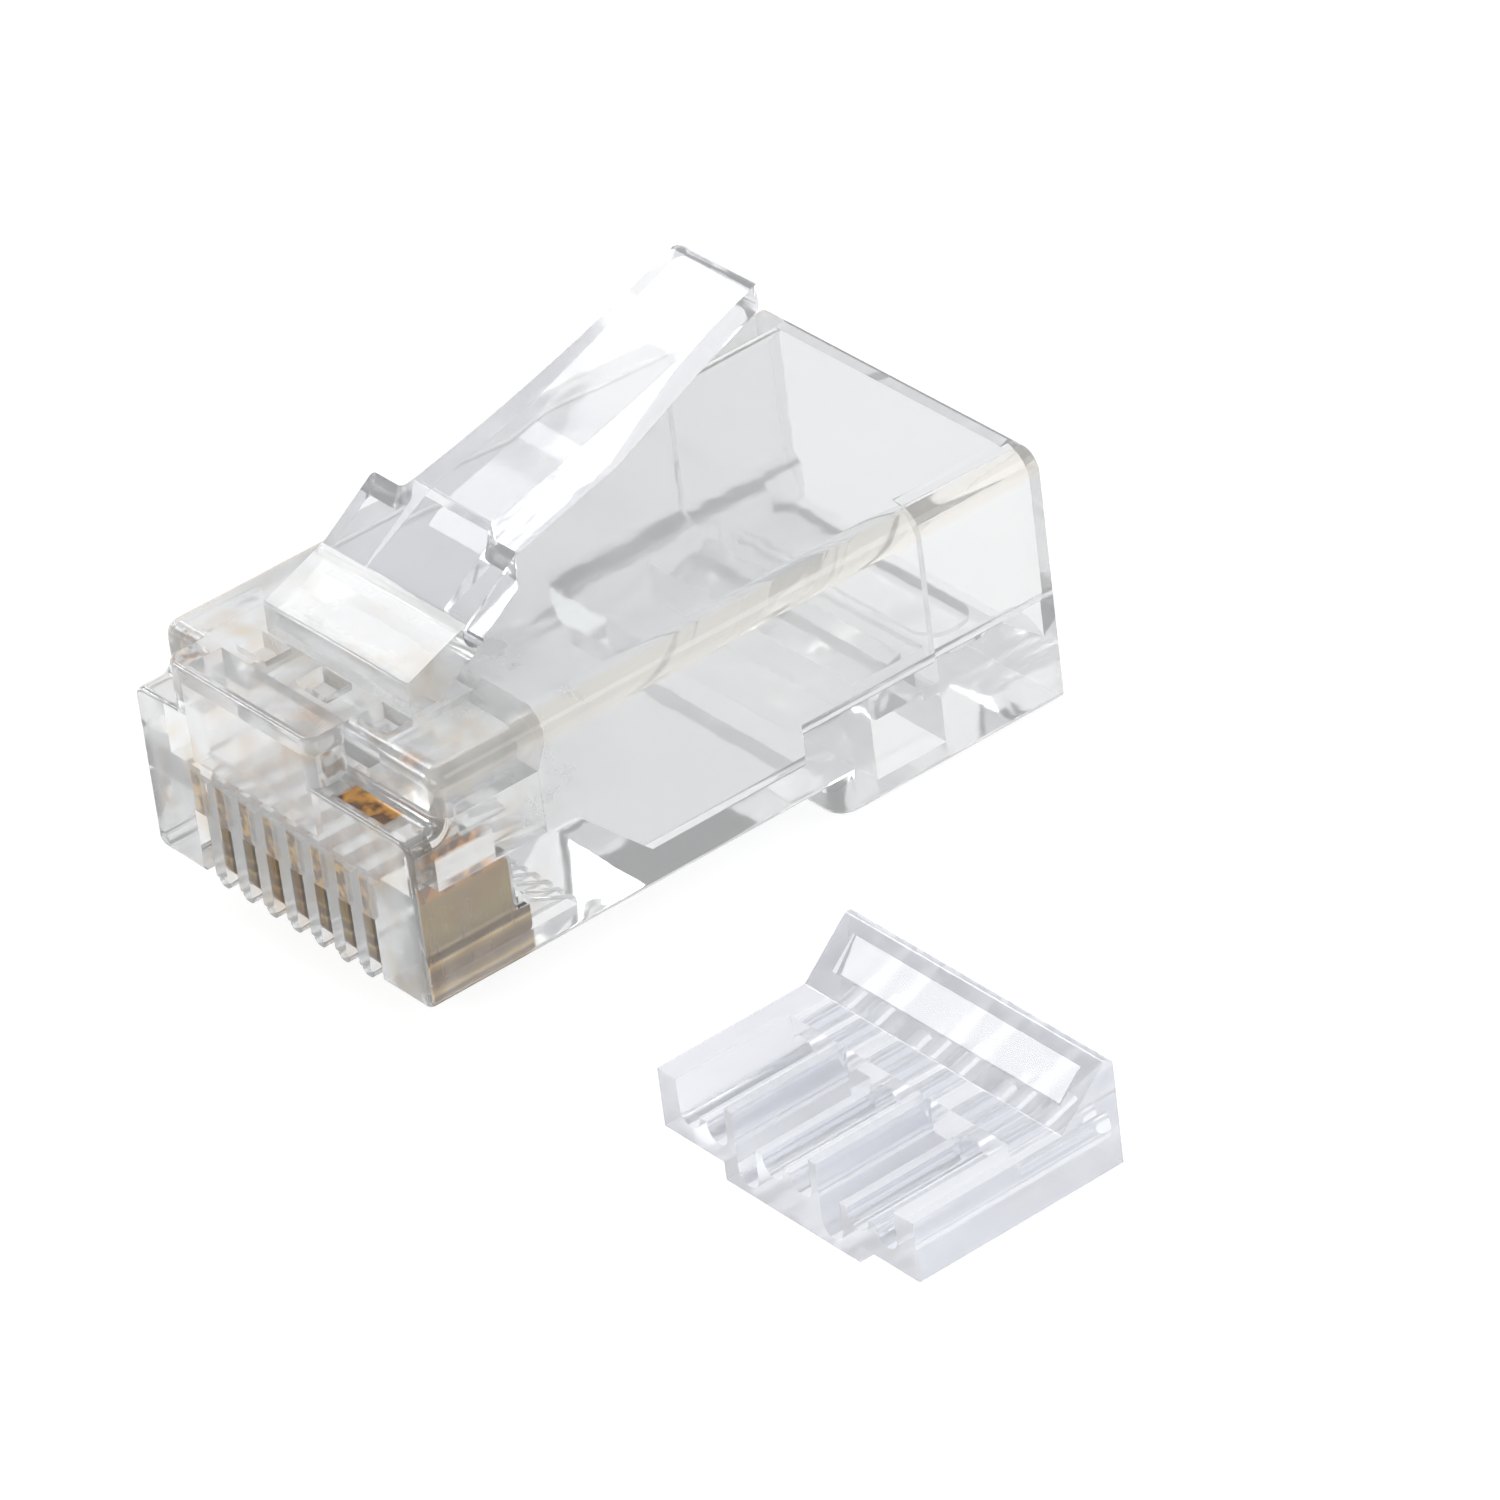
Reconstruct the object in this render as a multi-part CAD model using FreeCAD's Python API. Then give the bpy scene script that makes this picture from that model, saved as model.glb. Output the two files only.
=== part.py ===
import FreeCAD, Part
import math
import os

# Eight-position modular plug with its wire guide. Millimetres.
# Origin: centre of the nose face. +X across the plug, +Y towards the cable, +Z towards the latch.

# --- housing: outside ---
body_width = 11.68
body_length = 21.45
nose_height = 5.08          # front face, from the contact side up to the shelf
body_height = 6.58          # contact side up to the flat top
heel_drop = 1.16            # how far the heel stands below the contact side
heel_front = 13.61
shelf_depth = 1.10          # step across the top of the nose
shelf_corner_radius = 0.35
top_front_radius = 0.45
boss_left = -4.20           # the flat top runs on to the nose face here, a little to one side
boss_width = 6.20
boss_corner_radius = 0.45
boss_edge_radius = 0.15
boss_wall = 0.45            # plastic around the hollow in the boss
boss_roof = 0.70            # plastic above it
boss_floor_height = 3.45    # floor of that hollow, above the contact side
top_edge_radius = 0.60
bottom_edge_radius = 0.25
heel_corner_radius = 0.70   # upright corners at the front of the heel
heel_edge_radius = 0.25
front_edge_radius = 0.15
top_window_width = 1.25     # three shallow windows in the flat top, in front of the latch root
top_window_length = 0.85
top_window_pitch = 2.55
top_window_front = 1.65
top_window_depth = 0.50

# --- contacts and their comb ---
contact_count = 8
contact_pitch = 1.02
contact_thickness = 0.34
contact_front = 0.45        # front edge of the blade, behind the nose face
contact_length = 3.75       # jack-side bar of the blade
contact_body_length = 3.25  # taller part that carries the points
contact_bar_height = 0.95
contact_body_height = 2.55
contact_point_height = 0.50
contact_point_width = 0.62
contact_points = 3
contact_point_pitch = 0.92
contact_last_point = 3.17   # rearmost point, behind the nose face
contact_corner_radius = 0.30
contact_edge_radius = 0.10
contact_clearance = 0.03
slot_width = 0.52
slot_front_height = 1.95    # opening in the nose face, above the contact side
slot_length = 5.60
slot_end_height = 0.20
comb_tip = 0.20             # comb walls stand this far below the contact side
comb_setback = 0.08
comb_tip_radius = 0.20

# --- wire guide (load bar) ---
bar_width = 9.90
bar_length = 6.70
bar_wall_height = 1.78      # raised underside up to the channel walls
bar_keel_height = 0.55      # centre block under the raised underside
bar_keel_width = 5.20
bar_height = 4.00           # keel up to the back edge
bar_ramp_start = 4.87       # where the flat deck turns into the slope
bar_back_radius = 0.20
bar_panel_start = 0.62      # sunk panel, measured up the slope
bar_panel_length = 1.10
bar_panel_border = 0.60
bar_panel_depth_low = 0.18
bar_panel_depth_high = 0.06
bar_open_length = 3.75      # channels are open on top up to here, then closed holes
bar_channel_width = 0.80
bar_channel_base = 0.50     # plastic under a normal channel
bar_deep_base = 0.25        # plastic under the two deep channels
bar_channel_pitch = 1.09
bar_ridge_height = 0.10     # low ridges between grouped channels, above the channel centres
bar_deep_channels = (2, 5)
bar_channel_groups = ((0, 1), (2, 4), (5, 7))   # full-height walls stand between the groups
bar_edge_radius = 0.12
bar_clearance = 0.12        # around the wire guide when it is pushed home
bar_offset_x = 18.47        # where the wire guide lies beside the plug
bar_offset_y = 1.34

# --- housing: inside ---
front_wall = 1.00
shelf_wall = 0.45           # plastic under the shelf
riser_wall = 0.45           # plastic behind the step
wire_floor_height = 3.05    # floor of the wire chamber, above the contact side
ceiling_rise_start = 4.55
ceiling_rise_run = 0.95
side_wall = 0.74
mouth_wall = 0.97
mouth_depth = 3.85
top_wall = 0.43
bottom_wall = 0.70
floor_ramp_lead = 0.45
floor_ramp_run = 2.40
cable_floor_front = 13.00
cable_floor_height = 2.79   # thick floor over the heel, above the heel's underside
cavity_corner_radius = 0.50
lead_in_length = 1.30
lead_in_drop = 1.05
lead_in_top = 0.25

# --- pressing bar for the cable jacket ---
press_half_width = 3.85
press_slot_front = 15.60
press_slot_gap = 0.35
press_bar_length = 1.45
press_bar_slope = 21.0      # the bar's top rises towards the cable end
press_hinge_length = 0.60
press_web = 0.32
press_pocket_margin = 0.25
press_pocket_height = 1.60  # pocket in the underside of the heel
recess_gap = 0.35
recess_length = 1.75
recess_depth = 0.35
recess_radius = 0.70

# --- latch and its root ---
latch_base_width = 6.02
latch_tab_width = 3.25
root_front = 2.57
root_front_height = 0.92
root_front_radius = 0.10
crease_y = 4.75             # where the root ends and the moving ramp begins
crease_height = 1.77
root_gap_start = 3.40
root_lip_height = 0.82
root_lip_setback = 0.10
hinge_radius = 0.45
hinge_clearance = 0.03
ramp_angle = 34.8
shoulder_y = 6.55
shoulder_thickness = 0.78
tab_start_y = 6.80
tab_mid = (11.50, 4.41)     # distance from the nose, height above the flat top
tab_end = (15.93, 5.95)
tab_end_angle = 21.0        # slope of the tab at its tip
tab_under_near = (7.54, 1.93)
tab_under_mid = (9.30, 2.44)
tab_under_step = (11.00, 2.90)
tab_under_far = (13.80, 4.27)
tab_tip_radius = 0.36
tab_root_fillet = 0.35      # where the tab meets the shoulders
latch_corner_radius = 0.15
tab_corner_radius = 0.30

nose_bottom = -nose_height / 2
shelf_z = nose_height / 2
top_z = nose_bottom + body_height
heel_bottom = nose_bottom - heel_drop
wire_floor = nose_bottom + wire_floor_height
ceiling_z = top_z - top_wall
deep_floor = nose_bottom + bottom_wall
cable_floor = heel_bottom + cable_floor_height
half_width = body_width / 2
boss_right = boss_left + boss_width
cavity_half = half_width - side_wall
mouth_half = half_width - mouth_wall
bar_roof = wire_floor + bar_wall_height + bar_clearance
over = 1.0                  # how far cutting shapes run past a face
tolerance = 1e-5


def in_yz(x):
    return lambda a, b: FreeCAD.Vector(x, a, b)


def in_xz(y):
    return lambda a, b: FreeCAD.Vector(a, y, b)


def in_xy(z):
    return lambda a, b: FreeCAD.Vector(a, b, z)


def outline(corners, place):
    """Closed wire through (a, b, radius) corners; a radius rounds its corner with a tangent arc."""
    count = len(corners)
    edges = []
    joints = []
    for index, (a, b, radius) in enumerate(corners):
        here = FreeCAD.Vector(a, b, 0)
        before = FreeCAD.Vector(*corners[index - 1][:2], 0) - here
        after = FreeCAD.Vector(*corners[(index + 1) % count][:2], 0) - here
        before.normalize()
        after.normalize()
        if radius <= 0:
            joints.append((here, here, here))
            continue
        half = before.getAngle(after) / 2
        reach = radius / math.tan(half)
        inward = before + after
        inward.normalize()
        middle = here + inward * (radius / math.sin(half) - radius)
        joints.append((here + before * reach, middle, here + after * reach))
    for index, (start, middle, end) in enumerate(joints):
        following = joints[(index + 1) % count][0]
        if start.distanceToPoint(end) > tolerance:
            through = [place(point.x, point.y) for point in (start, middle, end)]
            edges.append(Part.Arc(*through).toShape())
        if end.distanceToPoint(following) > tolerance:
            edges.append(Part.LineSegment(place(end.x, end.y), place(following.x, following.y)).toShape())
    return Part.Wire(edges)


def prism_x(corners, x_from, x_to):
    face = Part.Face(outline(corners, in_yz(x_from)))
    return face.extrude(FreeCAD.Vector(x_to - x_from, 0, 0))


def prism_y(corners, y_from, y_to):
    face = Part.Face(outline(corners, in_xz(y_from)))
    return face.extrude(FreeCAD.Vector(0, y_to - y_from, 0))


def prism_z(corners, z_from, z_to):
    face = Part.Face(outline(corners, in_xy(z_from)))
    return face.extrude(FreeCAD.Vector(0, 0, z_to - z_from))


def rectangle(a_from, a_to, b_from, b_to, radius=0.0):
    return [(a_from, b_from, radius), (a_to, b_from, radius), (a_to, b_to, radius), (a_from, b_to, radius)]


def box(x_from, x_to, y_from, y_to, z_from, z_to):
    corner = FreeCAD.Vector(x_from, y_from, z_from)
    return Part.makeBox(x_to - x_from, y_to - y_from, z_to - z_from, corner)


def rod_x(y, z, radius, half_length):
    start = FreeCAD.Vector(-half_length, y, z)
    return Part.makeCylinder(radius, 2 * half_length, start, FreeCAD.Vector(1, 0, 0))


def joined(shapes):
    return shapes[0].fuse(shapes[1:]).removeSplitter() if len(shapes) > 1 else shapes[0].removeSplitter()


def edges_along(shape, direction, test):
    """Straight edges parallel to a direction whose middle passes the test."""
    found = []
    for edge in shape.Edges:
        if edge.Curve.TypeId != "Part::GeomLine":
            continue
        along = edge.tangentAt(edge.FirstParameter).getAngle(direction)
        middle = edge.valueAt((edge.FirstParameter + edge.LastParameter) / 2)
        if math.sin(along) < tolerance and test(middle):
            found.append(edge)
    return found


def near(value, target):
    return abs(value - target) < tolerance


def contact_x(index):
    return (index - (contact_count - 1) / 2) * contact_pitch


def outer_block():
    """Nose, flat top and heel, with their rounded edges."""
    along_x = FreeCAD.Vector(1, 0, 0)
    along_y = FreeCAD.Vector(0, 1, 0)
    along_z = FreeCAD.Vector(0, 0, 1)
    side = [(0, nose_bottom, 0), (heel_front, nose_bottom, 0), (heel_front, heel_bottom, 0),
            (body_length, heel_bottom, 0), (body_length, top_z, 0), (0, top_z, 0)]
    block = prism_x(side, -half_width, half_width)
    corners = edges_along(block, along_z, lambda p: near(p.y, heel_front))
    block = block.makeFillet(heel_corner_radius, corners)
    rim = [edge for edge in block.Edges
           if near(edge.BoundBox.ZMax, heel_bottom) and edge.BoundBox.YMin < body_length - over]
    block = block.makeFillet(heel_edge_radius, rim)
    top = edges_along(block, along_y, lambda p: near(p.z, top_z))
    block = block.makeFillet(top_edge_radius, top)
    low = edges_along(block, along_y, lambda p: near(p.z, nose_bottom))
    block = block.makeFillet(bottom_edge_radius, low)
    shelf = [(-over, shelf_z, 0), (shelf_depth, shelf_z, shelf_corner_radius),
             (shelf_depth, top_z + over, 0), (-over, top_z + over, 0)]
    block = block.cut([prism_x(shelf, -half_width - over, boss_left),
                       prism_x(shelf, boss_right, half_width + over)])
    riser = edges_along(block, along_x, lambda p: near(p.z, top_z) and near(p.y, shelf_depth))
    block = block.makeFillet(top_front_radius, riser)
    boss = edges_along(block, along_z, lambda p: near(p.y, 0) and p.z > shelf_z)
    block = block.makeFillet(boss_corner_radius, boss)
    brow = edges_along(block, along_x, lambda p: near(p.z, top_z) and near(p.y, 0))
    block = block.makeFillet(boss_edge_radius, brow)
    front = edges_along(block, along_z, lambda p: near(p.y, 0) and near(abs(p.x), half_width))
    return block.makeFillet(front_edge_radius, front)


def wire_chamber():
    """Room for the wire guide: flat floor over the contacts, with a deeper middle in the ceiling."""
    half = bar_width / 2 + bar_clearance
    keel_half = bar_keel_width / 2 + bar_clearance
    end = ceiling_rise_start + ceiling_rise_run

    def room(half_wide, roof):
        step = shelf_z - shelf_wall
        back = shelf_depth + riser_wall
        side = [(front_wall, wire_floor, 0), (end, wire_floor, 0), (end, roof, 0), (back, roof, 0),
                (back, step, 0), (front_wall, step, 0)]
        return prism_x(side, -half_wide, half_wide)

    hollow = box(boss_left + boss_wall, boss_right - boss_wall, boss_wall, shelf_depth + riser_wall,
                 nose_bottom + boss_floor_height, top_z - boss_roof)
    return joined([room(half, bar_roof), room(keel_half, bar_roof + bar_keel_height), hollow])


def deep_chamber():
    """Taller room behind the contacts, with a ramp in its floor and a slope in its ceiling."""
    ramp_start = front_wall + bar_clearance + bar_ramp_start - floor_ramp_lead
    ramp_end = ramp_start + floor_ramp_run
    room = prism_y(rectangle(-cavity_half, cavity_half, deep_floor, ceiling_z, cavity_corner_radius),
                   ceiling_rise_start, cable_floor_front + over)
    side = [(ceiling_rise_start, bar_roof, 0), (ceiling_rise_start + ceiling_rise_run, ceiling_z + over, 0),
            (cable_floor_front, ceiling_z + over, 0), (cable_floor_front, deep_floor - over, 0),
            (ramp_end, deep_floor - over, 0), (ramp_end, deep_floor, 0),
            (ramp_start, wire_floor, 0), (ceiling_rise_start, wire_floor, 0)]
    return room.common(prism_x(side, -half_width, half_width))


def cable_chamber():
    """Room for the cable jacket, a little narrower at the mouth, with lead-in slopes."""
    mouth_start = body_length - mouth_depth
    inner = prism_y(rectangle(-cavity_half, cavity_half, cable_floor, ceiling_z, cavity_corner_radius),
                    cable_floor_front - over / 2, mouth_start)
    mouth = prism_y(rectangle(-mouth_half, mouth_half, cable_floor, ceiling_z, cavity_corner_radius),
                    mouth_start - over / 2, body_length + over)
    lead_start = body_length - lead_in_length
    slope = lead_in_drop / lead_in_length
    outside = body_length + over
    low_lead = [(lead_start, cable_floor, 0), (outside, cable_floor - lead_in_drop - over * slope, 0),
                (outside, cable_floor + over, 0), (lead_start, cable_floor + over, 0)]
    top_lead = [(body_length - lead_in_top, ceiling_z, 0), (outside, ceiling_z + lead_in_top + over, 0),
                (outside, ceiling_z - over, 0), (body_length - lead_in_top, ceiling_z - over, 0)]
    lead_half = mouth_half - cavity_corner_radius / 2
    slopes = [prism_x(low_lead, -lead_half, lead_half), prism_x(top_lead, -lead_half, lead_half)]
    return joined([inner, mouth] + slopes)


def press_bar_cuts():
    """Slots that free the pressing bar, with the pocket below it and the thumb recess behind."""
    bar_front = press_slot_front + press_slot_gap
    bar_rear = bar_front + press_bar_length
    hinge_rear = bar_rear + press_hinge_length
    pocket_top = heel_bottom + press_pocket_height
    half = press_half_width
    outer = half + press_pocket_margin
    pocket = box(-outer, outer, press_slot_front, hinge_rear, heel_bottom - over, pocket_top)
    front_slot = box(-outer, outer, press_slot_front, bar_front, pocket_top - over, cable_floor + over)
    side_slots = [box(x, x + press_pocket_margin, press_slot_front, bar_rear,
                      pocket_top - over, cable_floor + over) for x in (-outer, half)]
    groove = box(-outer, outer, bar_rear, hinge_rear, pocket_top + press_web, cable_floor + over)
    drop = (bar_rear - press_slot_front) * math.tan(math.radians(press_bar_slope))
    slope = prism_x([(press_slot_front, cable_floor + over, 0), (press_slot_front, cable_floor - drop, 0),
                     (bar_rear, cable_floor, 0), (bar_rear, cable_floor + over, 0)], -half, half)
    recess_start = hinge_rear + recess_gap
    recess = prism_z(rectangle(-half, half, recess_start, recess_start + recess_length, recess_radius),
                     cable_floor - recess_depth, cable_floor + over)
    return [pocket, front_slot, slope, groove, recess] + side_slots


def top_window(x):
    half = top_window_width / 2
    rear = top_window_front + top_window_length
    return box(x - half, x + half, top_window_front, rear, top_z - top_window_depth, top_z + over)


def contact_slot(x):
    """Slot from the nose face under the comb, open into the wire chamber above the blade."""
    gap = contact_clearance
    front = contact_front - gap
    body_rear = contact_front + contact_body_length + gap
    bar_rear = contact_front + contact_length + gap
    below = nose_bottom - comb_tip - over
    bar_top = nose_bottom - comb_tip + contact_bar_height + gap
    pocket_top = nose_bottom - comb_tip + contact_body_height + contact_point_height + 2 * gap
    side = [(-over, below, 0), (slot_length, below, 0), (slot_length, nose_bottom + slot_end_height, 0),
            (bar_rear, bar_top, 0), (body_rear, bar_top, 0), (body_rear, wire_floor + over / 2, 0),
            (front_wall, wire_floor + over / 2, 0), (front_wall, pocket_top, 0), (front, pocket_top, 0),
            (front, nose_bottom + slot_front_height, 0),
            (-over, nose_bottom + slot_front_height, 0)]
    return prism_x(side, x - slot_width / 2, x + slot_width / 2)


def comb_wall(x):
    """Wall between two slots; its rounded tip stands below the contact side."""
    half = (contact_pitch - slot_width) / 2
    tip = nose_bottom - comb_tip
    section = [(x - half, tip, comb_tip_radius), (x + half, tip, comb_tip_radius),
               (x + half, nose_bottom + over / 2, 0), (x - half, nose_bottom + over / 2, 0)]
    wall = prism_y(section, comb_setback, slot_length + comb_tip)
    rear = slot_length + comb_tip
    end = [(slot_length, tip, 0), (rear, tip, 0), (rear, nose_bottom, 0)]
    return wall.cut(prism_x(end, x - half, x + half))


def hinge_centre():
    """The hinge edge touches the ramp's plane from below, right at the crease."""
    slope = math.radians(ramp_angle)
    return (crease_y + hinge_radius * math.sin(slope),
            top_z + crease_height - hinge_radius * math.cos(slope))


def latch_root():
    """Wedge that rises from the flat top and ends in a half-round seat for the latch."""
    centre_y, centre_z = hinge_centre()
    half = latch_base_width / 2
    embed = top_wall / 2
    side = [(root_front, top_z - embed, 0), (root_gap_start, top_z - embed, 0), (root_gap_start, top_z, 0),
            (centre_y - root_lip_setback, top_z + root_lip_height, 0), (centre_y, centre_z, 0),
            (crease_y, top_z + crease_height, 0),
            (root_front, top_z + root_front_height, root_front_radius)]
    wedge = prism_x(side, -half, half)
    return wedge.cut(rod_x(centre_y, centre_z, hinge_radius + hinge_clearance, half + over))


def housing():
    slots = [contact_slot(contact_x(index)) for index in range(contact_count)]
    walls = [comb_wall(contact_x(index) + contact_pitch / 2) for index in range(contact_count - 1)]
    body = outer_block().cut([wire_chamber(), deep_chamber(), cable_chamber()] + press_bar_cuts())
    body = body.cut(slots + [top_window(step * top_window_pitch) for step in (-1, 0, 1)])
    return joined([body, latch_root()] + walls)


def latch_plan():
    """Outline of the latch from above: wide ramp, two shoulders, narrow tab."""
    wide = latch_base_width / 2
    narrow = latch_tab_width / 2
    front = crease_y - hinge_radius
    right = [(wide, front, 0), (wide, shoulder_y, latch_corner_radius),
             (narrow, shoulder_y, tab_root_fillet),
             (narrow, tab_end[0] + tab_tip_radius, tab_corner_radius)]
    left = [(-x, y, radius) for x, y, radius in reversed(right)]
    return prism_z(right + left, top_z, top_z + tab_end[1] + over)


def latch_profile(half):
    """Side view of the latch, from the round hinge edge up the ramp and along the tab."""
    centre = FreeCAD.Vector(0, *hinge_centre())
    place = in_yz(0)
    slope = math.radians(ramp_angle)
    crease = place(crease_y, top_z + crease_height)
    ramp_end = place(tab_start_y, crease.z + (tab_start_y - crease_y) * math.tan(slope))
    mid, end, under_near, under_mid, under_step, under_far = [
        place(y, top_z + height)
        for y, height in (tab_mid, tab_end, tab_under_near, tab_under_mid, tab_under_step, tab_under_far)]
    along = FreeCAD.Vector(0, math.cos(math.radians(tab_end_angle)), math.sin(math.radians(tab_end_angle)))
    down = FreeCAD.Vector(0, along.z, -along.y)
    tip_low = end + down * 2 * tab_tip_radius
    tip_middle = end + (down + along) * tab_tip_radius
    reach = under_near - centre
    tangent_angle = math.atan2(reach.z, reach.y) - math.acos(hinge_radius / reach.Length)
    crease_angle = math.pi / 2 + slope

    def on_hinge(angle):
        return centre + FreeCAD.Vector(0, math.cos(angle), math.sin(angle)) * hinge_radius

    tangent = on_hinge(tangent_angle)
    front = on_hinge((tangent_angle + crease_angle) / 2 + math.pi)
    edges = [
        Part.LineSegment(crease, ramp_end).toShape(),
        Part.Arc(ramp_end, mid, end).toShape(),
        Part.Arc(end, tip_middle, tip_low).toShape(),
        Part.LineSegment(tip_low, under_far).toShape(),
        Part.LineSegment(under_far, under_step).toShape(),
        Part.Arc(under_step, under_mid, under_near).toShape(),
        Part.LineSegment(under_near, tangent).toShape(),
        Part.Arc(tangent, front, crease).toShape(),
    ]
    face = Part.Face(Part.Wire(edges))
    face.translate(FreeCAD.Vector(-half, 0, 0))
    return face.extrude(FreeCAD.Vector(2 * half, 0, 0))


def shoulder_relief(side):
    """Space under the ramp beside the tab, so that the shoulders are plates of even thickness."""
    slope = math.radians(ramp_angle)
    centre_y, centre_z = hinge_centre()
    drop = shoulder_thickness / math.cos(slope)
    low_z = top_z + crease_height - drop
    start_y = centre_y + hinge_radius * math.sin(slope) / 2
    start_z = low_z + (start_y - crease_y) * math.tan(slope)
    end_y = shoulder_y + over
    end_z = low_z + (end_y - crease_y) * math.tan(slope)
    wedge = [(start_y, start_z, 0), (end_y, end_z, 0), (end_y, top_z, 0), (start_y, top_z, 0)]
    inner = side * latch_tab_width / 2
    outer = side * (latch_base_width / 2 + over)
    return prism_x(wedge, min(inner, outer), max(inner, outer))


def latch():
    """Round hinge edge, wide ramp with two locking shoulders, and the long curved tab."""
    shape = latch_profile(latch_base_width / 2).common(latch_plan())
    return joined([shape.cut([shoulder_relief(-1), shoulder_relief(1)])])


def contact(x):
    """Stamped blade: rounded bar on the jack side, taller body with piercing points."""
    low = nose_bottom - comb_tip + contact_clearance
    bar_top = low + contact_bar_height
    body_top = low + contact_body_height
    front = contact_front
    radius = contact_corner_radius
    small = contact_edge_radius
    side = [(front, low, radius), (front + contact_length, low, radius),
            (front + contact_length, bar_top, small), (front + contact_body_length, bar_top, small),
            (front + contact_body_length, body_top, 0)]
    for index in range(contact_points):
        middle = contact_last_point - index * contact_point_pitch
        side.append((middle + contact_point_width / 2, body_top, 0))
        side.append((middle, body_top + contact_point_height, 0))
        side.append((middle - contact_point_width / 2, body_top, 0))
    side.append((front, body_top, 0))
    return prism_x(side, x - contact_thickness / 2, x + contact_thickness / 2)


def bar_channel_x(index):
    return (index - (contact_count - 1) / 2) * bar_channel_pitch


def bar_panel(foot_y, foot_z, slope):
    """Cutter for the sunk panel in the slope of the wire guide; it is deeper at its lower edge."""
    def on_slope(reach, depth):
        return (foot_y + reach * math.cos(slope) + depth * math.sin(slope),
                foot_z + reach * math.sin(slope) - depth * math.cos(slope), 0)

    upper = bar_panel_start + bar_panel_length
    side = [on_slope(bar_panel_start, bar_panel_depth_low), on_slope(upper, bar_panel_depth_high),
            on_slope(upper, -over), on_slope(bar_panel_start, -over)]
    half = bar_width / 2 - bar_panel_border
    return prism_x(side, -half, half)


def load_bar():
    """Wire guide: eight channels, two of them deeper, that turn into holes under a raised back."""
    half = bar_width / 2
    base = heel_bottom
    underside = base + bar_keel_height
    wall_top = underside + bar_wall_height
    high = base + bar_height
    slope = math.atan2(high - wall_top, bar_length - bar_ramp_start)
    side = [(0, underside, 0), (bar_length, underside, 0), (bar_length, high, bar_back_radius),
            (bar_ramp_start, wall_top, bar_edge_radius), (0, wall_top, 0)]
    block = prism_x(side, -half, half)
    keel = box(-bar_keel_width / 2, bar_keel_width / 2, 0, bar_length, base, underside + over / 2)
    block = joined([block, keel])
    radius = bar_channel_width / 2
    cuts = [bar_panel(bar_ramp_start, wall_top, slope)]
    for index in range(contact_count):
        x = bar_channel_x(index)
        deep = index in bar_deep_channels
        centre = (base + bar_deep_base if deep else underside + bar_channel_base) + radius
        start = FreeCAD.Vector(x, -over, centre)
        cuts.append(Part.makeCylinder(radius, bar_length + 2 * over, start, FreeCAD.Vector(0, 1, 0)))
        cuts.append(box(x - radius, x + radius, -over, bar_open_length, centre, wall_top + over))
    ridge = underside + bar_channel_base + radius + bar_ridge_height
    for first, last in bar_channel_groups:
        x_from, x_to = bar_channel_x(first), bar_channel_x(last)
        cuts.append(box(x_from, x_to, -over, bar_open_length, ridge, wall_top + over))
    bar = block.cut(cuts)
    bar.translate(FreeCAD.Vector(bar_offset_x, bar_offset_y, 0))
    return bar


def save(name, shape):
    solids = shape.Solids
    body = solids[0] if len(solids) == 1 else shape
    print(name, "solids", len(solids), "valid", shape.isValid(), "volume", round(shape.Volume, 3))
    body.exportStep(os.path.join("parts", name + ".step"))


os.makedirs("parts", exist_ok=True)
save("housing", housing())
save("latch", latch())
for number in range(contact_count):
    save("contact_%d" % (number + 1), contact(contact_x(number)))
save("load_bar", load_bar())
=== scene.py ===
import bpy
import math
from mathutils import Matrix, Vector


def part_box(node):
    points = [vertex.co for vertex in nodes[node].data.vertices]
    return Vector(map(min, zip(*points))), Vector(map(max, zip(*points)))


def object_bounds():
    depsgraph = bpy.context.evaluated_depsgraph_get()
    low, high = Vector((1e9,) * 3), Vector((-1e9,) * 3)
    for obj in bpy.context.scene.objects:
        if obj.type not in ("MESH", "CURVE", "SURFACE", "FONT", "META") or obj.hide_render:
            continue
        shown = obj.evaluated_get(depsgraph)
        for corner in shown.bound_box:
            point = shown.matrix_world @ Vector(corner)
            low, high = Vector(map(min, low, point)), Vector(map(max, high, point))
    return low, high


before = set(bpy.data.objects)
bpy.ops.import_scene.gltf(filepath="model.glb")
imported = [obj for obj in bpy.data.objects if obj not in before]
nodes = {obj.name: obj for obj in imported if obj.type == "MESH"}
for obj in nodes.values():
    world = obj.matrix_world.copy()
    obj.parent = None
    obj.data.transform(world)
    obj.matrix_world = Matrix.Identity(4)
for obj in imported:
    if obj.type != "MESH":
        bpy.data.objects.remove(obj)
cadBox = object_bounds()
print("frame loaded")

mm = 0.001
inMm = (1 / mm, 1 / mm, 1 / mm)   # stretch that turns metres into millimetres
white = (1.0, 1.0, 1.0, 1.0)
lowest, highest = Vector(cadBox[0]), Vector(cadBox[1])
middle = (lowest + highest) / 2
scene = bpy.context.scene


# small helpers for node materials

colourInputs = (6, 7)   # where a Mix node keeps its two colours
colourOutput = 2


def newMaterial(name):
    material = bpy.data.materials.new(name)
    material.use_nodes = True
    tree = material.node_tree
    shader = tree.nodes["Principled BSDF"]
    return material, tree, shader


def addNode(tree, kind, **settings):
    node = tree.nodes.new(kind)
    for key, value in settings.items():
        if key in node.inputs:
            node.inputs[key].default_value = value
        else:
            setattr(node, key, value)
    return node


def objectCoordinates(tree, stretch):
    coordinates = addNode(tree, "ShaderNodeTexCoord")
    mapping = addNode(tree, "ShaderNodeMapping", Scale=stretch)
    tree.links.new(coordinates.outputs["Object"], mapping.inputs["Vector"])
    return mapping.outputs["Vector"]


def splitAxes(tree, place):
    axes = addNode(tree, "ShaderNodeSeparateXYZ")
    tree.links.new(place, axes.inputs["Vector"])
    return axes.outputs


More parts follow.
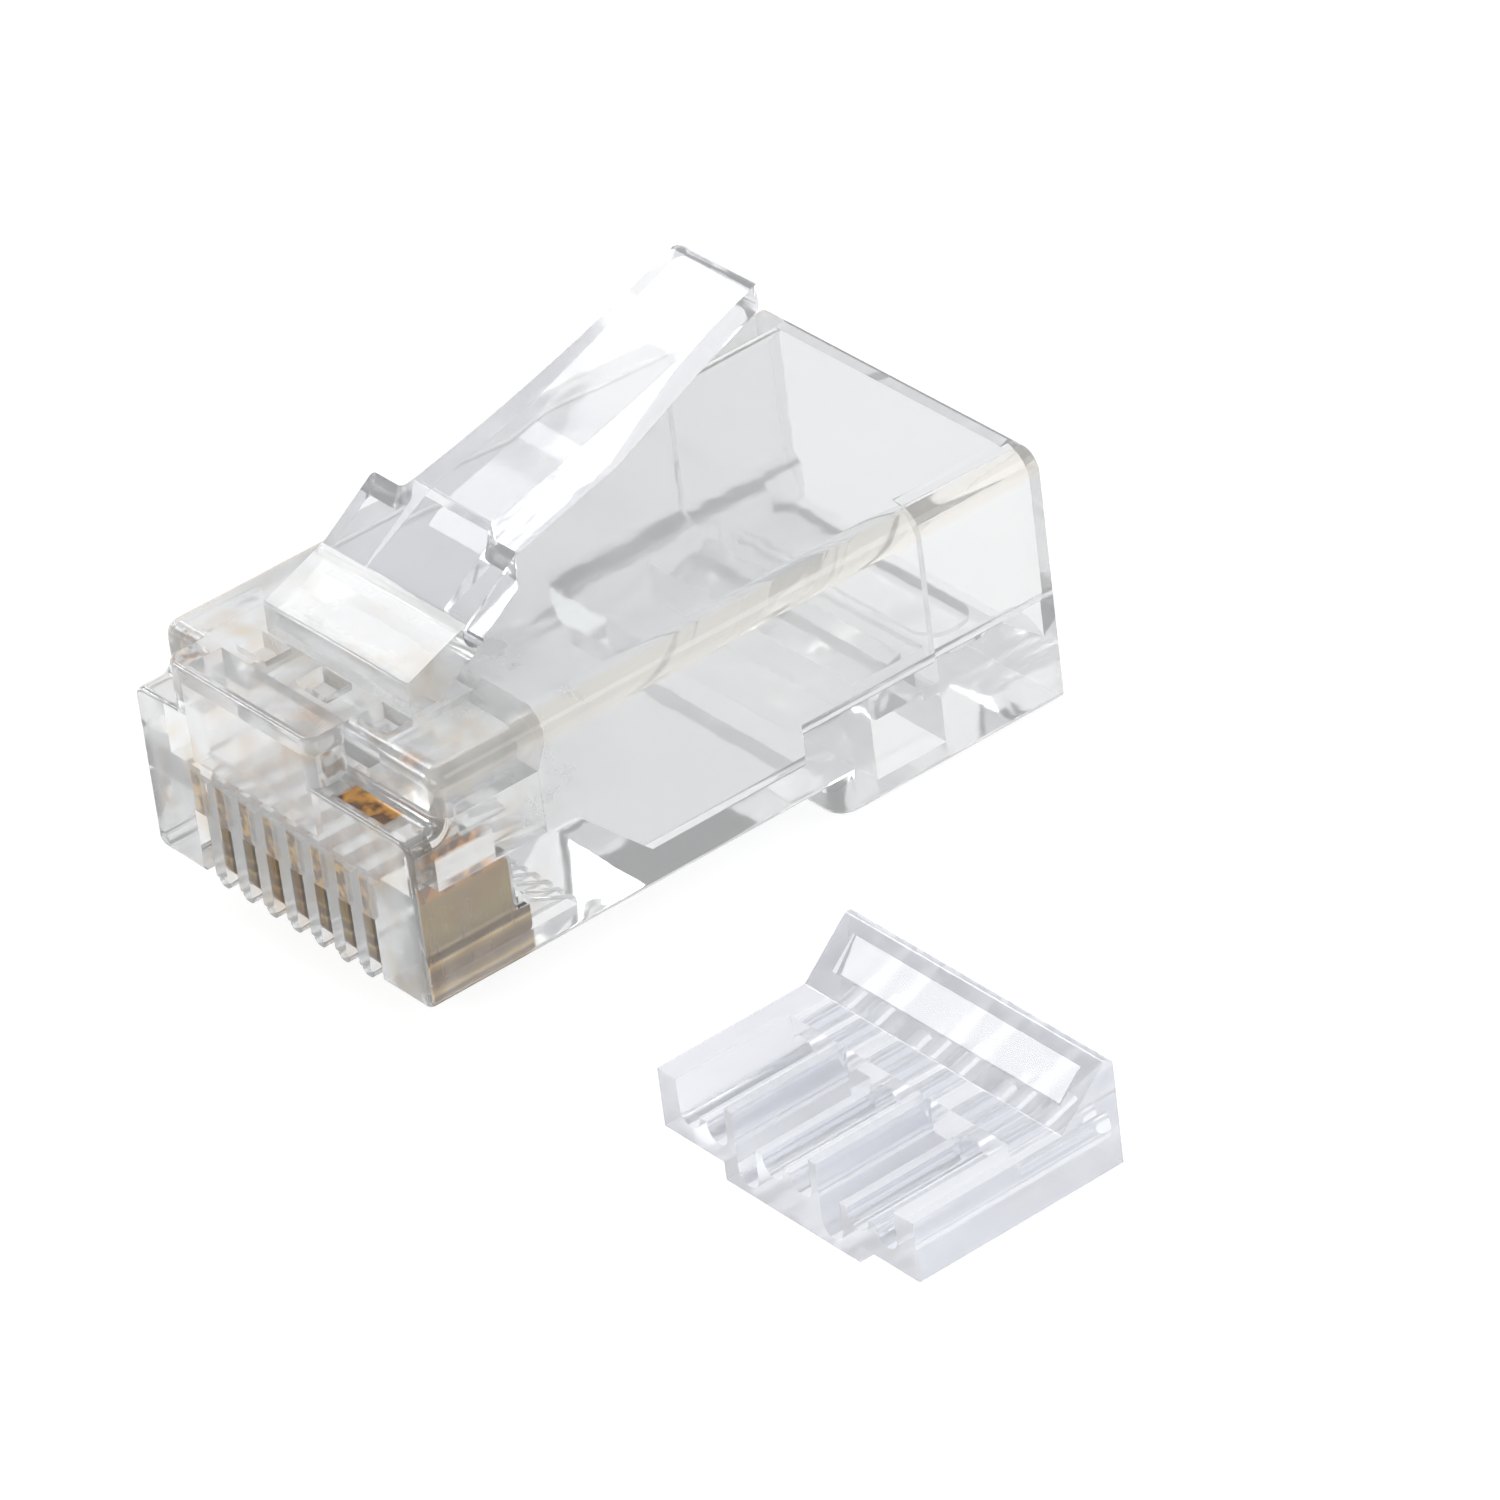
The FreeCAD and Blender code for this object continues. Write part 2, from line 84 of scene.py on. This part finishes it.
def noiseOver(tree, place, **settings):
    noise = addNode(tree, "ShaderNodeTexNoise", **settings)
    tree.links.new(place, noise.inputs["Vector"])
    return noise.outputs["Fac"]


def mapRange(tree, source, low, high, start=0.0, end=1.0):
    node = addNode(tree, "ShaderNodeMapRange")
    for key, value in {"From Min": start, "From Max": end, "To Min": low, "To Max": high}.items():
        node.inputs[key].default_value = value
    tree.links.new(source, node.inputs["Value"])
    return node.outputs["Result"]


def combine(tree, operation, first, second):
    node = addNode(tree, "ShaderNodeMath", operation=operation)
    tree.links.new(first, node.inputs[0])
    tree.links.new(second, node.inputs[1])
    return node.outputs["Value"]


def mixColours(tree, share, first, second):
    # each colour is either a value or the output of another node
    mix = addNode(tree, "ShaderNodeMix", data_type="RGBA")
    tree.links.new(share, mix.inputs["Factor"])
    for place, colour in zip(colourInputs, (first, second)):
        if isinstance(colour, bpy.types.NodeSocket):
            tree.links.new(colour, mix.inputs[place])
        else:
            mix.inputs[place].default_value = colour
    return mix.outputs[colourOutput]


def addBump(tree, shader, height, depth):
    bump = addNode(tree, "ShaderNodeBump", Strength=1.0, Distance=depth)
    tree.links.new(height, bump.inputs["Height"])
    tree.links.new(bump.outputs["Normal"], shader.inputs["Normal"])


def setGlow(shader, strength):
    shader.inputs["Emission Color"].default_value = white
    shader.inputs["Emission Strength"].default_value = strength


def patchMask(tree, place, centre, reach, soft):
    # 1 inside a box around the centre, 0 outside, in millimetres
    vector = place
    for operation, value in (("SUBTRACT", centre), ("DIVIDE", reach), ("ABSOLUTE", None)):
        step = addNode(tree, "ShaderNodeVectorMath", operation=operation)
        tree.links.new(vector, step.inputs[0])
        if value:
            step.inputs[1].default_value = value
        vector = step.outputs["Vector"]
    axes = splitAxes(tree, vector)
    widest = combine(tree, "MAXIMUM", axes["Y"], axes["Z"])
    widest = combine(tree, "MAXIMUM", axes["X"], widest)
    return mapRange(tree, widest, 1.0, 0.0, 1.0 - soft, 1.0 + soft)


# clear moulded plastic: faint waves, handling marks, a frosty nose, painted reflections of the gold blades around
# them

bodySide = round(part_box("housing")[1].x / mm, 2)
halfPitch = abs(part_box("contact_2")[0].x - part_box("contact_1")[0].x) / 2 / mm

clearPlastic = {
    "tint": (0.902, 0.908, 0.911, 1.0),
    "warm": (0.80, 0.69, 0.55, 1.0),   # painted reflection of the gold blades: brownish patches towards the nose
    "warmReflectionUpTo": (3.2 * mm, 4.4 * mm),
    "patches": {"Scale": 0.75, "Detail": 2.0},
    "patchRange": (0.50, 0.72),
    "clarity": 0.86,
    "polish": 0.135,                   # clearer plastic on the sides, beside the blades
    "polishBeyond": (5.3 * mm, 5.7 * mm),
    "polishUpTo": (4.2 * mm, 4.8 * mm),
    "polishBelow": (2.3 * mm, 2.7 * mm),
    "frost": 0.14,                     # rougher and milkier nose
    "milk": 0.10,
    "frostAbove": (0.7 * mm, 1.5 * mm),
    "frostFrom": (-1.0 * mm, -0.5 * mm),
    "frostUpTo": (2.6 * mm, 4.6 * mm),
    "frostFront": (0.05 * mm, 0.3 * mm),
    "frostWithin": (5.3 * mm, 5.7 * mm),
    "frostSpots": (0.42, 0.60),        # the frost lies in soft clouds
    "frostLeast": 0.3,                 # what is left of it between them
    "band": 0.10,                      # the long rounded edges of the top are a little milky
    "bandBeyond": (5.15 * mm, 5.35 * mm),
    "bandAbove": (3.30 * mm, 3.50 * mm),
    "bandTint": (0.93, 0.88, 0.80, 1.0),
    # painted reflections of the gold blades seen through the plastic: centre and reach in mm, softness, strength
    "paintedGoldReflections": [
        ((3.55, 0.74, 2.54), (1.02, 0.50, 0.12), 0.08, 1.0),
        ((4.60, 1.42, 4.0), (0.42, 0.20, 0.3), 0.5, 0.55),
        ((1.0, 0.95, 4.04), (0.75, 0.45, 0.2), 0.8, 0.35),
        ((-3.9, 0.5, 4.0), (0.7, 0.5, 0.5), 0.8, 0.30),
        ((-0.8, 0.0, 1.65), (1.1, 0.2, 0.3), 0.7, 0.18),
        ((bodySide, 1.35, 1.90), (0.15, 1.10, 0.17), 0.25, 0.75),
        ((bodySide, 1.75, 0.92), (0.15, 0.80, 0.12), 0.35, 0.75),
    ],
    # dark and bright colour of the painted gold reflections
    "reflectedGoldColours": ((0.13, 0.04, 0.005, 1.0), (0.74, 0.31, 0.03, 1.0)),
    "slotGoldReflection": ((0.0, 0.2, -0.10), (4.0, 0.5, 0.80), 0.15, 0.90),   # one more painted gold reflection, in front of the blades
    "slotReflectedColours": ((0.12, 0.06, 0.012, 1.0), (0.46, 0.28, 0.07, 1.0)),
    "slotReach": (0.24, 0.16),         # from a slot's middle, in mm: where the painted gold reflection ends and where it is full
    # painted glint in the gold reflections: spots between their dark and bright colour
    "paintedGlints": {"Scale": 2.6, "Detail": 1.0},
    "paintedGlintRange": (0.42, 0.62),
    "paintedGoldOpacity": 0.45,                  # how much of the clearness the painted gold reflection takes away
    "glow": 0.024,                     # stands for light scattered inside the plastic
    "refraction": 1.58,
    "smoothness": (0.02, 0.07),        # roughness, cleanest and most handled
    "handling": {"Scale": 0.35, "Detail": 6.0, "Roughness": 0.7},
    "waveSize": 1.4 * mm,
    "waveDetail": 1.5,
    "waveDepth": 0.010 * mm,
    "absorbColour": (0.90, 0.91, 0.90, 1.0),
    "absorbDensity": 3.0,
}

innerPlastic = dict(
    clearPlastic, smoothness=(0.03, 0.08), frost=0.32, milk=0.14, paintedGoldReflections=[],
    frostAbove=(0.6 * mm, 1.0 * mm), frostFrom=(3.2 * mm, 4.0 * mm), frostUpTo=(6.2 * mm, 7.6 * mm),
    frostFront=(-2.0 * mm, -1.0 * mm), polishBeyond=(3.6 * mm, 3.8 * mm))

latchPlastic = dict(
    clearPlastic, tint=(0.895, 0.90, 0.92, 1.0), warm=(0.885, 0.89, 0.91, 1.0), waveDepth=0.004 * mm,
    frost=0.0, milk=0.0, paintedGoldReflections=[])

guidePlastic = dict(
    clearPlastic, tint=(0.90, 0.912, 0.95, 1.0), warm=(0.89, 0.902, 0.94, 1.0), clarity=0.80, polish=0.0,
    milk=0.0, frost=0.0, paintedGoldReflections=[], smoothness=(0.06, 0.14), glow=0.042)


def makeClearPlastic(name, look):
    material, tree, shader = newMaterial(name)
    shader.inputs["IOR"].default_value = look["refraction"]
    setGlow(shader, look["glow"])
    place = objectCoordinates(tree, inMm)
    axes = splitAxes(tree, place)
    beside = addNode(tree, "ShaderNodeMath", operation="ABSOLUTE")
    tree.links.new(axes["X"], beside.inputs[0])
    sources = {"side": beside.outputs["Value"], "Y": axes["Y"], "Z": axes["Z"]}

    def fade(source, low, high, key):
        return mapRange(tree, sources[source], low, high, *[reach / mm for reach in look[key]])

    # roughness: handling marks everywhere, frost in clouds on the nose
    handling = noiseOver(tree, place, **look["handling"])
    top = combine(tree, "MULTIPLY", fade("Z", 0.0, 1.0, "frostAbove"), fade("Y", 1.0, 0.0, "frostUpTo"))
    top = combine(tree, "MULTIPLY", top, fade("Y", 0.0, 1.0, "frostFrom"))
    front = combine(tree, "MULTIPLY", fade("Z", 1.0, 0.0, "frostAbove"), fade("Y", 1.0, 0.0, "frostFront"))
    clouds = mapRange(tree, handling, look["frostLeast"], 1.0, *look["frostSpots"])
    facing = combine(tree, "MULTIPLY", clouds, fade("side", 1.0, 0.0, "frostWithin"))
    frosted = combine(tree, "MULTIPLY", combine(tree, "MAXIMUM", top, front), facing)
    clean = mapRange(tree, handling, *look["smoothness"])
    rough = combine(tree, "ADD", clean, mapRange(tree, frosted, 0.0, look["frost"]))
    tree.links.new(rough, shader.inputs["Roughness"])

    # clearness: less where it is milky, more on the polished sides
    low = combine(tree, "MULTIPLY", fade("Z", 1.0, 0.0, "polishBelow"), fade("Y", 1.0, 0.0, "polishUpTo"))
    polished = combine(tree, "MULTIPLY", fade("side", 0.0, 1.0, "polishBeyond"), low)
    band = combine(tree, "MULTIPLY", fade("side", 0.0, 1.0, "bandBeyond"), fade("Z", 0.0, 1.0, "bandAbove"))
    milk = mapRange(tree, frosted, 0.0, look["milk"])
    milk = combine(tree, "ADD", milk, mapRange(tree, band, 0.0, look["band"]))
    milky = mapRange(tree, milk, look["clarity"], look["clarity"] - 1.0)
    clear = combine(tree, "ADD", milky, mapRange(tree, polished, 0.0, look["polish"]))

    # colour: tint, warmer patches of painted reflection, the band, then the painted gold reflections, which also
    # take clearness away
    spread = mapRange(tree, noiseOver(tree, place, **look["patches"]), 0.0, 1.0, *look["patchRange"])
    # painted reflection of the blades: warmer patches, only towards the nose
    reflectedWarmth = combine(tree, "MULTIPLY", spread, fade("Y", 1.0, 0.0, "warmReflectionUpTo"))
    base = mixColours(tree, reflectedWarmth, look["tint"], look["warm"])
    base = mixColours(tree, band, base, look["bandTint"])
    # painted reflections of the gold blades, each a painted glint between dark and bright gold: one in the slots,
    # then the listed patches
    paintedGlints = mapRange(tree, noiseOver(tree, place, **look["paintedGlints"]), 0.0, 1.0, *look["paintedGlintRange"])
    slots = addNode(tree, "ShaderNodeMath", operation="PINGPONG")
    tree.links.new(axes["X"], slots.inputs[0])
    slots.inputs[1].default_value = halfPitch
    slotEdges = [halfPitch - reach for reach in look["slotReach"]]
    beforeBlades = mapRange(tree, slots.outputs["Value"], 0.0, 1.0, *slotEdges)
    patchList = [("slotReflectedColours",) + look["slotGoldReflection"]] if look["paintedGoldReflections"] else []
    patchList += [("reflectedGoldColours",) + patch for patch in look["paintedGoldReflections"]]
    for seen, centre, reach, soft, strength in patchList:
        mask = patchMask(tree, place, centre, reach, soft)
        if seen == "slotReflectedColours":
            mask = combine(tree, "MULTIPLY", mask, beforeBlades)
        gold = mixColours(tree, paintedGlints, *look[seen])
        base = mixColours(tree, mapRange(tree, mask, 0.0, strength), base, gold)
        clear = combine(tree, "SUBTRACT", clear, mapRange(tree, mask, 0.0, strength * look["paintedGoldOpacity"]))
    tree.links.new(clear, shader.inputs["Transmission Weight"])
    tree.links.new(base, shader.inputs["Base Color"])

    waves = noiseOver(tree, place, Scale=mm / look["waveSize"], Detail=look["waveDetail"])
    addBump(tree, shader, waves, look["waveDepth"])
    volume = addNode(tree, "ShaderNodeVolumeAbsorption", Color=look["absorbColour"], Density=look["absorbDensity"])
    tree.links.new(volume.outputs["Volume"], tree.nodes["Material Output"].inputs["Volume"])
    return material


# gold plating over the stamped blades: bands up the blade with painted highlights and glint, drawn streaks, warm
# stains

goldPlating = {
    # colour at a share of the blade's height, from the jack side up to the points; the bright bands are painted
    # highlights and the orange near the points is painted glint
    "bands": {
        0.0: (0.30, 0.19, 0.05),
        0.05: (0.11, 0.055, 0.01),
        0.12: (0.15, 0.08, 0.015),
        0.17: (0.34, 0.23, 0.06),
        0.20: (0.62, 0.46, 0.19),
        0.23: (0.12, 0.06, 0.01),
        0.29: (0.17, 0.10, 0.02),
        0.32: (0.50, 0.36, 0.12),
        0.36: (0.26, 0.165, 0.012),
        0.80: (0.31, 0.195, 0.015),
        0.86: (0.62, 0.27, 0.02),
        1.0: (0.42, 0.16, 0.01),
    },
    "stained": (0.20, 0.085, 0.015, 1.0),
    "stain": 0.55,                     # the most that a stain covers
    "stains": {"Scale": 0.9, "Detail": 3.0},
    "stainRange": (0.45, 0.75),
    "streaks": {"Scale": 6.0, "Detail": 5.0, "Roughness": 0.6},
    "streakStretch": (900, 900, 160),  # less along Z, so the streaks run up the blade
    "streakDepth": 0.004 * mm,
    "roughness": (0.18, 0.42),
}


def makeGoldPlating(name, look):
    material, tree, shader = newMaterial(name)
    shader.inputs["Metallic"].default_value = 1.0
    streaks = noiseOver(tree, objectCoordinates(tree, look["streakStretch"]), **look["streaks"])
    stains = noiseOver(tree, objectCoordinates(tree, inMm), **look["stains"])
    height = splitAxes(tree, objectCoordinates(tree, (1, 1, 1)))["Z"]
    foot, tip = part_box("contact_1")
    # bands up the blade, with painted highlights and painted glint among them
    bands = addNode(tree, "ShaderNodeValToRGB")
    stops = bands.color_ramp.elements
    for index, (share, colour) in enumerate(sorted(look["bands"].items())):
        stop = stops[index] if index < 2 else stops.new(share)   # a new ramp has two stops
        stop.position = share
        stop.color = colour + (1.0,)
    tree.links.new(mapRange(tree, height, 0.0, 1.0, foot.z, tip.z), bands.inputs["Fac"])
    covered = mapRange(tree, stains, 0.0, look["stain"], *look["stainRange"])
    base = mixColours(tree, covered, bands.outputs["Color"], look["stained"])
    tree.links.new(base, shader.inputs["Base Color"])
    tree.links.new(mapRange(tree, streaks, *look["roughness"]), shader.inputs["Roughness"])
    addBump(tree, shader, streaks, look["streakDepth"])
    return material


# rims: every sharp edge of the moulding and of the stamped blades gets a tiny rounded rim

rimSizes = {"housing": 0.05 * mm, "latch": 0.06 * mm, "contact": 0.025 * mm}   # the wire guide stays crisp
rimLook = {"weld": 0.001 * mm, "flat": 0.3, "segments": 2, "sharp": 28}        # flat and sharp in degrees


def softenRims(piece, width, look):
    for face in piece.data.polygons:
        face.use_smooth = True
    weld = piece.modifiers.new("weld", "WELD")
    weld.merge_threshold = look["weld"]
    flat = piece.modifiers.new("flat", "DECIMATE")
    flat.decimate_type = "DISSOLVE"
    flat.angle_limit = math.radians(look["flat"])
    rim = piece.modifiers.new("rim", "BEVEL")
    rim.width = width
    rim.segments = look["segments"]
    rim.limit_method = "ANGLE"
    rim.angle_limit = math.radians(look["sharp"])
    shade = piece.modifiers.new("shade", "WEIGHTED_NORMAL")
    shade.weight = 100
    shade.keep_sharp = False


# walls of the housing's hollows: everything deeper than the skin, between the floor and the roof

innerReach = {"skin": 0.3 * mm, "front": 0.9 * mm, "bottom": -2.4 * mm, "top": 3.7 * mm}


def markInner(piece, low, high, reach):
    for face in piece.data.polygons:
        c = face.center
        across = low.x + reach["skin"] < c.x < high.x - reach["skin"]
        deep = reach["front"] < c.y < high.y - reach["skin"] and reach["bottom"] < c.z < reach["top"]
        face.material_index = int(across and deep)


def dress(name, material):
    piece = nodes[name]
    piece.data.materials.clear()
    piece.data.materials.append(material)
    if name == "housing":
        piece.data.materials.append(innerMaterial)
        markInner(piece, *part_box(name), innerReach)
    kind = name.split("_")[0]
    if kind in rimSizes:
        softenRims(piece, rimSizes[kind], rimLook)


shellMaterial = makeClearPlastic("clearShell", clearPlastic)
innerMaterial = makeClearPlastic("clearInner", innerPlastic)
latchMaterial = makeClearPlastic("clearLatch", latchPlastic)
guideMaterial = makeClearPlastic("clearGuide", guidePlastic)
contactMaterial = makeGoldPlating("goldPlating", goldPlating)
dress("housing", shellMaterial)
dress("latch", latchMaterial)
dress("load_bar", guideMaterial)
for name in sorted(nodes):
    if name.startswith("contact_"):
        dress(name, contactMaterial)
print("rims and materials set")


# floor: pale and matt, with a glow of its own that keeps it white

floorLook = {
    "size": 3.0,
    "gap": 0.06 * mm,
    "colour": (0.30, 0.30, 0.30, 1.0),
    "speckle": 0.02,
    "speckles": {"Scale": 40.0, "Detail": 4.0},
    "roughness": 0.9,
    "glow": 0.82,
}


def makeFloor(look):
    mesh = bpy.data.meshes.new("floor")
    half = look["size"] / 2
    height = lowest.z - look["gap"]
    corners = [(-half, -half), (half, -half), (half, half), (-half, half)]
    mesh.from_pydata([(middle.x + x, middle.y + y, height) for x, y in corners], [], [(0, 1, 2, 3)])
    floor = bpy.data.objects.new("floor", mesh)
    scene.collection.objects.link(floor)
    material, tree, shader = newMaterial("paleFloor")
    shader.inputs["Roughness"].default_value = look["roughness"]
    noise = noiseOver(tree, objectCoordinates(tree, (1, 1, 1)), **look["speckles"])
    darker = [c - look["speckle"] for c in look["colour"][:3]] + [1.0]
    tree.links.new(mixColours(tree, noise, look["colour"], darker), shader.inputs["Base Color"])
    setGlow(shader, look["glow"])
    mesh.materials.append(material)


makeFloor(floorLook)


# soft studio light

lightLook = {
    "above": (0.95, 0.96, 0.98, 1.0),
    "aboveAt": 0.55,
    "horizon": (0.80, 0.81, 0.83, 1.0),
    "horizonAt": 0.05,
    "strength": 0.66,
    "softboxes": {
        # direction from the object, distance, width, height, turn, brightness seen in a reflection
        "boxWedge": ((-0.68, -0.012, 0.73), 0.40, 0.080, 0.16, 0.0, 5.2),
        "boxTab": ((-0.652, 0.152, 0.743), 0.4066, 0.050, 0.060, 11.9, 3.2),
        "boxSlope": ((-0.68, -0.62, 0.39), 0.40, 0.16, 0.10, 0.0, 6.0),
        "boxFront": ((0.30, -0.85, 0.55), 0.50, 0.30, 0.16, 0.0, 2.0),
        "boxRear": ((0.55, 0.75, 0.60), 0.50, 0.30, 0.30, 0.0, 1.5),
    },
}


def makeLights(look):
    world = bpy.data.worlds.new("studio")
    scene.world = world
    world.use_nodes = True
    tree = world.node_tree
    sky = addNode(tree, "ShaderNodeTexCoord")
    ramp = addNode(tree, "ShaderNodeValToRGB")
    for stop, key in zip(ramp.color_ramp.elements, ("horizon", "above")):
        stop.color = look[key]
        stop.position = look[key + "At"]
    tree.links.new(splitAxes(tree, sky.outputs["Generated"])["Z"], ramp.inputs["Fac"])
    background = tree.nodes["Background"]
    tree.links.new(ramp.outputs["Color"], background.inputs["Color"])
    background.inputs["Strength"].default_value = look["strength"]
    for name, (direction, distance, width, height, turn, brightness) in look["softboxes"].items():
        data = bpy.data.lights.new(name, "AREA")
        data.shape = "RECTANGLE"
        data.size = width
        data.size_y = height
        data.energy = brightness * math.pi * width * height
        lamp = bpy.data.objects.new(name, data)
        away = Vector(direction).normalized()
        lamp.location = middle + away * distance
        facing = away.to_track_quat("Z", "Y").to_matrix() @ Matrix.Rotation(math.radians(turn), 3, "Z")
        lamp.rotation_euler = facing.to_euler()
        scene.collection.objects.link(lamp)


makeLights(lightLook)


# camera: long lens from the front right, looking down on the latch side

cameraLook = {
    "azimuth": -35.77,      # degrees from +X, seen from above
    "elevation": 33.15,
    "distance": 0.26596,
    "aim": (-0.00032, -0.00163, -0.00108),   # from the middle of the whole object
    "roll": -7.41,
    "lens": 249.4,
    "sensor": 36.0,
    "nearest": 0.01,
}


def makeCamera(look):
    data = bpy.data.cameras.new("camera")
    data.lens = look["lens"]
    data.sensor_width = look["sensor"]
    data.clip_start = look["nearest"]
    camera = bpy.data.objects.new("camera", data)
    scene.collection.objects.link(camera)
    azimuth, elevation = math.radians(look["azimuth"]), math.radians(look["elevation"])
    level = math.cos(elevation)
    away = Vector((math.cos(azimuth) * level, math.sin(azimuth) * level, math.sin(elevation)))
    turn = away.to_track_quat("Z", "Y").to_matrix() @ Matrix.Rotation(math.radians(look["roll"]), 3, "Z")
    place = middle + Vector(look["aim"]) + away * look["distance"]
    camera.matrix_world = Matrix.Translation(place) @ turn.to_4x4()
    scene.camera = camera


makeCamera(cameraLook)
bounces = 14   # light has many clear walls to pass
scene.cycles.max_bounces = bounces
scene.cycles.transmission_bounces = bounces
scene.view_settings.view_transform = "Standard"
print("camera, light and floor set")
